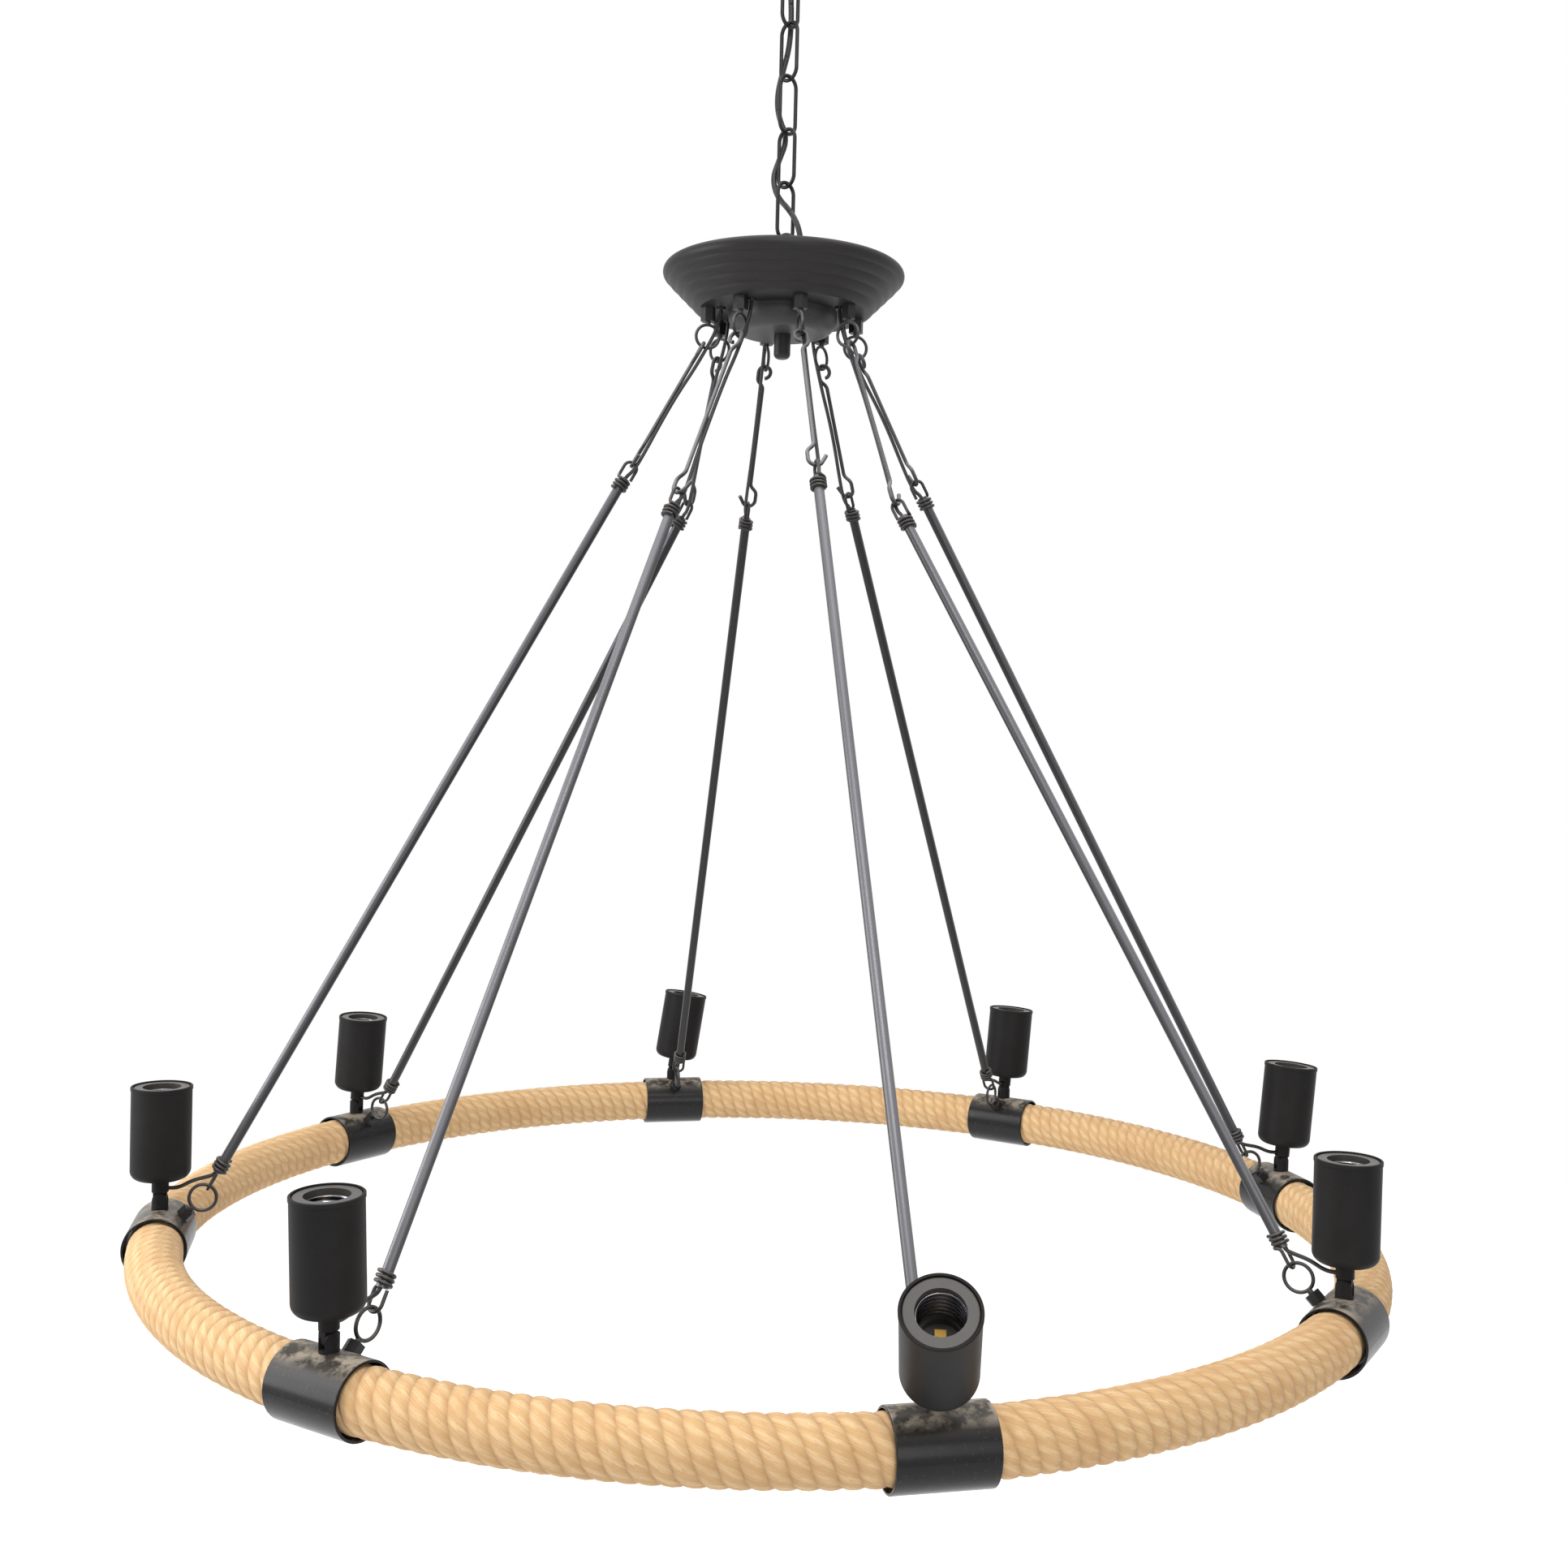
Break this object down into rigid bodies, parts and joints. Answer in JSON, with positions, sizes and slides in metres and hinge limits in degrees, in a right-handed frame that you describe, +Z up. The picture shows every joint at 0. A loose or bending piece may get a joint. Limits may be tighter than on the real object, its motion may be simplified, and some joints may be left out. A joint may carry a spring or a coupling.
{
  "type": "wagon wheel chandelier",
  "caption": "Ceiling chandelier with a rope-wound steel ring, upright lampholders, hooked suspension rods and a chain.",
  "frame": {"origin": "on the chandelier's axis, in the face of the bracket that lies against the ceiling", "axes": "+Z up, -Y towards the viewer of the picture, +X to the viewer's right"},
  "size_m": [0.939, 0.9803, 1.0561],
  "materials": {
    "black_frame": "satin black powder coat",
    "grey_rod": "dull dark grey drawn steel",
    "black_chain": "black paint over welded wire",
    "plated_steel": "zinc plated",
    "jute_rope": "twisted jute, hairy and matte",
    "black_cable": "flexible black insulation",
    "socket_insulator": "moulded dark insulator",
    "contact_brass": "bare sprung brass"
  },
  "bodies": {
    "ceiling": {"ceiling_bracket": "plated_steel", "ceiling_nipple": "plated_steel", "nipple_nut": "plated_steel", "ceiling_canopy": "black_frame", "canopy_loop": "black_frame", "power_cord": "black_cable"},
    "chain_link_1": {"chain_link_1": "black_chain"},
    "chain_link_2": {"chain_link_2": "black_chain"},
    "chain_link_3": {"chain_link_3": "black_chain"},
    "chain_link_4": {"chain_link_4": "black_chain"},
    "chain_link_5": {"chain_link_5": "black_chain"},
    "chandelier": {"hub_dish": "black_frame", "hub_lid": "black_frame", "hub_bowl": "black_frame", "hub_rod": "plated_steel", "hub_loop": "black_frame", "hub_finial": "black_frame", "terminal_block": "socket_insulator", "cable_bushes": "socket_insulator", "hub_eyes": "grey_rod", "eye_nuts": "black_frame", "upper_hooks": "grey_rod", "lower_rods": "grey_rod", "rod_eyes": "black_frame", "lamp_cables": "black_cable", "ring_tube": "plated_steel", "collars": "black_frame", "collar_bushes": "plated_steel", "collar_eyes": "black_frame", "lamp_feet": "black_frame", "lamp_pins": "plated_steel", "rope_front": "jute_rope", "rope_left": "jute_rope", "rope_back": "jute_rope", "rope_right": "jute_rope"},
    "lamp_1": {"lamp_1_cup": "black_frame", "lamp_1_socket": "socket_insulator", "lamp_1_contact": "contact_brass"},
    "lamp_2": {"lamp_2_cup": "black_frame", "lamp_2_socket": "socket_insulator", "lamp_2_contact": "contact_brass"},
    "lamp_3": {"lamp_3_cup": "black_frame", "lamp_3_socket": "socket_insulator", "lamp_3_contact": "contact_brass"},
    "lamp_4": {"lamp_4_cup": "black_frame", "lamp_4_socket": "socket_insulator", "lamp_4_contact": "contact_brass"},
    "lamp_5": {"lamp_5_cup": "black_frame", "lamp_5_socket": "socket_insulator", "lamp_5_contact": "contact_brass"},
    "lamp_6": {"lamp_6_cup": "black_frame", "lamp_6_socket": "socket_insulator", "lamp_6_contact": "contact_brass"},
    "lamp_7": {"lamp_7_cup": "black_frame", "lamp_7_socket": "socket_insulator", "lamp_7_contact": "contact_brass"},
    "lamp_8": {"lamp_8_cup": "black_frame", "lamp_8_socket": "socket_insulator", "lamp_8_contact": "contact_brass"}
  },
  "joints": [
    {"name": "chain_hinge_1", "type": "hinge", "parent": "ceiling", "child": "chain_link_1", "pos_m": [0, 0, -0.0606], "axis": [-0.7071, 0.7071, 0], "range_deg": [-15, 15], "deforming": ["power_cord"]},
    {"name": "chain_hinge_2", "type": "hinge", "parent": "chain_link_1", "child": "chain_link_2", "pos_m": [0, 0, -0.1015], "axis": [0.7071, 0.7071, 0], "range_deg": [-15, 15], "deforming": ["power_cord"]},
    {"name": "chain_hinge_3", "type": "hinge", "parent": "chain_link_2", "child": "chain_link_3", "pos_m": [0, 0, -0.1429], "axis": [-0.7071, 0.7071, 0], "range_deg": [-15, 15], "deforming": ["power_cord"]},
    {"name": "chain_hinge_4", "type": "hinge", "parent": "chain_link_3", "child": "chain_link_4", "pos_m": [0, 0, -0.1843], "axis": [0.7071, 0.7071, 0], "range_deg": [-15, 15], "deforming": ["power_cord"]},
    {"name": "chain_hinge_5", "type": "hinge", "parent": "chain_link_4", "child": "chain_link_5", "pos_m": [0, 0, -0.2257], "axis": [-0.7071, 0.7071, 0], "range_deg": [-15, 15], "deforming": ["power_cord"]},
    {"name": "chain_hinge_6", "type": "hinge", "parent": "chain_link_5", "child": "chandelier", "pos_m": [0, 0, -0.2671], "axis": [0.7071, 0.7071, 0], "range_deg": [-15, 15], "deforming": ["power_cord"]},
    {"name": "lamp_1_tilt", "type": "hinge", "parent": "chandelier", "child": "lamp_1", "pos_m": [0.09931, -0.4389, -1.00415], "axis": [0.995, -0.1002, 0], "range_deg": [-57.5, 17.5], "deforming": ["lamp_cables"]},
    {"name": "lamp_2_tilt", "type": "hinge", "parent": "chandelier", "child": "lamp_2", "pos_m": [-0.24013, -0.38058, -1.00415], "axis": [0.8457, -0.5336, 0], "range_deg": [-17.5, 57.5], "deforming": ["lamp_cables"]},
    {"name": "lamp_3_tilt", "type": "hinge", "parent": "chandelier", "child": "lamp_3", "pos_m": [-0.4389, -0.09931, -1.00415], "axis": [0.2207, -0.9753, 0], "range_deg": [-15, 60], "deforming": ["lamp_cables"]},
    {"name": "lamp_4_tilt", "type": "hinge", "parent": "chandelier", "child": "lamp_4", "pos_m": [-0.38058, 0.24013, -1.00415], "axis": [-0.5336, -0.8457, 0], "range_deg": [-10.5, 64.5], "deforming": ["lamp_cables"]},
    {"name": "lamp_5_tilt", "type": "hinge", "parent": "chandelier", "child": "lamp_5", "pos_m": [-0.09931, 0.4389, -1.00415], "axis": [-0.2207, 0.9753, 0], "range_deg": [-53.5, 36.5], "deforming": ["lamp_cables"]},
    {"name": "lamp_6_tilt", "type": "hinge", "parent": "chandelier", "child": "lamp_6", "pos_m": [0.24013, 0.38058, -1.00415], "axis": [-0.2207, 0.9753, 0], "range_deg": [-19, 41], "deforming": ["lamp_cables"]},
    {"name": "lamp_7_tilt", "type": "hinge", "parent": "chandelier", "child": "lamp_7", "pos_m": [0.4389, 0.09931, -1.00415], "axis": [-0.2207, 0.9753, 0], "range_deg": [-19.5, 55.5], "deforming": ["lamp_cables"]},
    {"name": "lamp_8_tilt", "type": "hinge", "parent": "chandelier", "child": "lamp_8", "pos_m": [0.38058, -0.24013, -1.00415], "axis": [0.5336, 0.8457, 0], "range_deg": [-15, 60], "deforming": ["lamp_cables"]}
  ]
}
